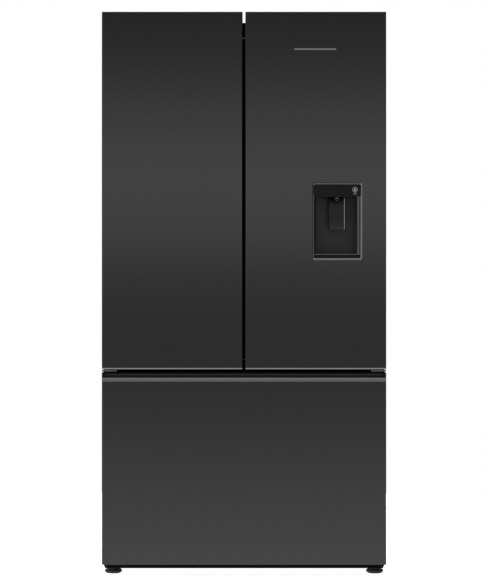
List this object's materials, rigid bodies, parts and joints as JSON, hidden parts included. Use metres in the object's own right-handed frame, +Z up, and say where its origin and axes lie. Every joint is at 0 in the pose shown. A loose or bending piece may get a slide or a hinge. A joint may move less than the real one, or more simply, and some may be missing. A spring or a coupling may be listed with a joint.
{
  "type": "french door refrigerator",
  "caption": "Free-standing dark steel refrigerator with paired upper doors, a water dispenser and a full-width freezer drawer with recessed grips",
  "frame": {"origin": "centre of the footprint on the floor", "axes": "+Z up, the doors face -Y, +X is the right-hand side seen from the front"},
  "size_m": [0.9, 0.695, 1.79],
  "materials": {
    "painted_body": "satin dark grey paint",
    "black_steel": "dark tinted steel with a fine brushed satin finish",
    "zinc": "plain zinc-plated sheet",
    "hinge_steel": "dark plated steel",
    "grip_trim": "satin dark anodised",
    "badge_metal": "satin",
    "black_plastic": "matt moulded",
    "gloss_black": "semi-gloss moulded",
    "panel_glass": "gloss black touch panel",
    "white_liner": "semi-gloss vacuum-formed",
    "white_trim": "satin moulded",
    "clear_bin": null,
    "clear_glass": "toughened glass",
    "foam": "rigid foam",
    "seal": "soft magnetic seal",
    "lamp": "frosted lamp lens",
    "black_enamel": "black enamel"
  },
  "bodies": {
    "cabinet": {"cabinet_shell": "painted_body", "cabinet_back": "zinc", "base_pan": "zinc", "kick_plate": "black_plastic", "insulation": "foam", "fridge_liner": "white_liner", "freezer_liner": "white_liner", "centre_rail": "painted_body", "duct_cover": "white_liner", "shelf_tracks": "zinc", "top_light": "lamp", "crisper_cover": "clear_glass", "shelf_frames": "white_trim", "shelf_glass": "clear_glass", "top_hinges": "hinge_steel", "middle_hinges": "hinge_steel", "hinge_covers": "black_plastic", "foot_brackets": "hinge_steel", "compressor": "black_enamel", "evaporator_cover": "white_liner", "machine_cover": "zinc", "power_inlet": "black_plastic"},
    "left_door": {"left_door_skin": "black_steel", "left_door_foam": "foam", "left_door_liner": "white_liner", "left_door_caps": "black_plastic", "left_door_seal": "seal", "left_door_bins": "clear_bin", "left_door_trim": "grip_trim"},
    "right_door": {"right_door_skin": "black_steel", "right_door_foam": "foam", "right_door_liner": "white_liner", "right_door_caps": "black_plastic", "right_door_seal": "seal", "right_door_bins": "clear_bin", "right_door_trim": "grip_trim", "dispenser_frame": "grip_trim", "dispenser_tub": "gloss_black", "dispenser_panel": "panel_glass", "dispenser_nozzle": "grip_trim", "drip_tray": "gloss_black", "badge": "badge_metal"},
    "mullion": {"mullion": "black_plastic"},
    "dispenser_paddle": {"dispenser_paddle": "grip_trim"},
    "freezer_drawer": {"drawer_skin": "black_steel", "drawer_foam": "foam", "drawer_handle": "grip_trim", "drawer_liner": "white_liner", "drawer_seal": "seal", "drawer_rails": "zinc", "drawer_basket": "clear_bin"},
    "freezer_tray": {"freezer_tray": "clear_bin"},
    "crisper_left": {"crisper_left": "clear_bin"},
    "crisper_right": {"crisper_right": "clear_bin"},
    "foot_left": {"foot_left": "black_plastic"},
    "foot_right": {"foot_right": "black_plastic"},
    "roller_left": {"roller_left": "black_plastic"},
    "roller_right": {"roller_right": "black_plastic"},
    "evaporator_fan": {"evaporator_fan": "white_trim"},
    "condenser_fan": {"condenser_fan": "black_plastic"}
  },
  "joints": [
    {"name": "left_door_hinge", "type": "hinge", "parent": "cabinet", "child": "left_door", "pos_m": [-0.432, -0.3225, 0.66], "axis": [0, 0, -1], "range_deg": [0, 120]},
    {"name": "right_door_hinge", "type": "hinge", "parent": "cabinet", "child": "right_door", "pos_m": [0.432, -0.3225, 0.66], "axis": [0, 0, 1], "range_deg": [0, 120]},
    {"name": "mullion_fold", "type": "hinge", "parent": "left_door", "child": "mullion", "pos_m": [-0.03, -0.2545, 0.7], "axis": [0, 0, 1], "range_deg": [0, 90]},
    {"name": "paddle_press", "type": "hinge", "parent": "right_door", "child": "dispenser_paddle", "pos_m": [0.2948, -0.3025, 1.2], "axis": [1, 0, 0], "range_deg": [0, 12], "stiffness_Nm_per_rad": 0.4},
    {"name": "freezer_drawer_slide", "type": "slide", "parent": "cabinet", "child": "freezer_drawer", "axis": [0, -1, 0], "range_m": [0, 0.43]},
    {"name": "freezer_tray_slide", "type": "slide", "parent": "freezer_drawer", "child": "freezer_tray", "axis": [0, 1, 0], "range_m": [0, 0.15]},
    {"name": "crisper_left_slide", "type": "slide", "parent": "cabinet", "child": "crisper_left", "axis": [0, -1, 0], "range_m": [0, 0.085]},
    {"name": "crisper_right_slide", "type": "slide", "parent": "cabinet", "child": "crisper_right", "axis": [0, -1, 0], "range_m": [0, 0.085]},
    {"name": "foot_left_turn", "type": "hinge", "parent": "cabinet", "child": "foot_left", "pos_m": [-0.4215, -0.2385, 0], "axis": [0, 0, 1], "continuous": true},
    {"name": "foot_right_turn", "type": "hinge", "parent": "cabinet", "child": "foot_right", "pos_m": [0.4215, -0.2385, 0], "axis": [0, 0, 1], "continuous": true},
    {"name": "roller_left_spin", "type": "hinge", "parent": "cabinet", "child": "roller_left", "pos_m": [-0.4, 0.3005, 0.02], "axis": [1, 0, 0], "continuous": true},
    {"name": "roller_right_spin", "type": "hinge", "parent": "cabinet", "child": "roller_right", "pos_m": [0.4, 0.3005, 0.02], "axis": [1, 0, 0], "continuous": true},
    {"name": "evaporator_fan_spin", "type": "hinge", "parent": "cabinet", "child": "evaporator_fan", "pos_m": [0, 0.2475, 0.5], "axis": [0, 1, 0], "continuous": true},
    {"name": "condenser_fan_spin", "type": "hinge", "parent": "cabinet", "child": "condenser_fan", "pos_m": [0.14, 0.3155, 0.16], "axis": [0, 1, 0], "continuous": true}
  ]
}
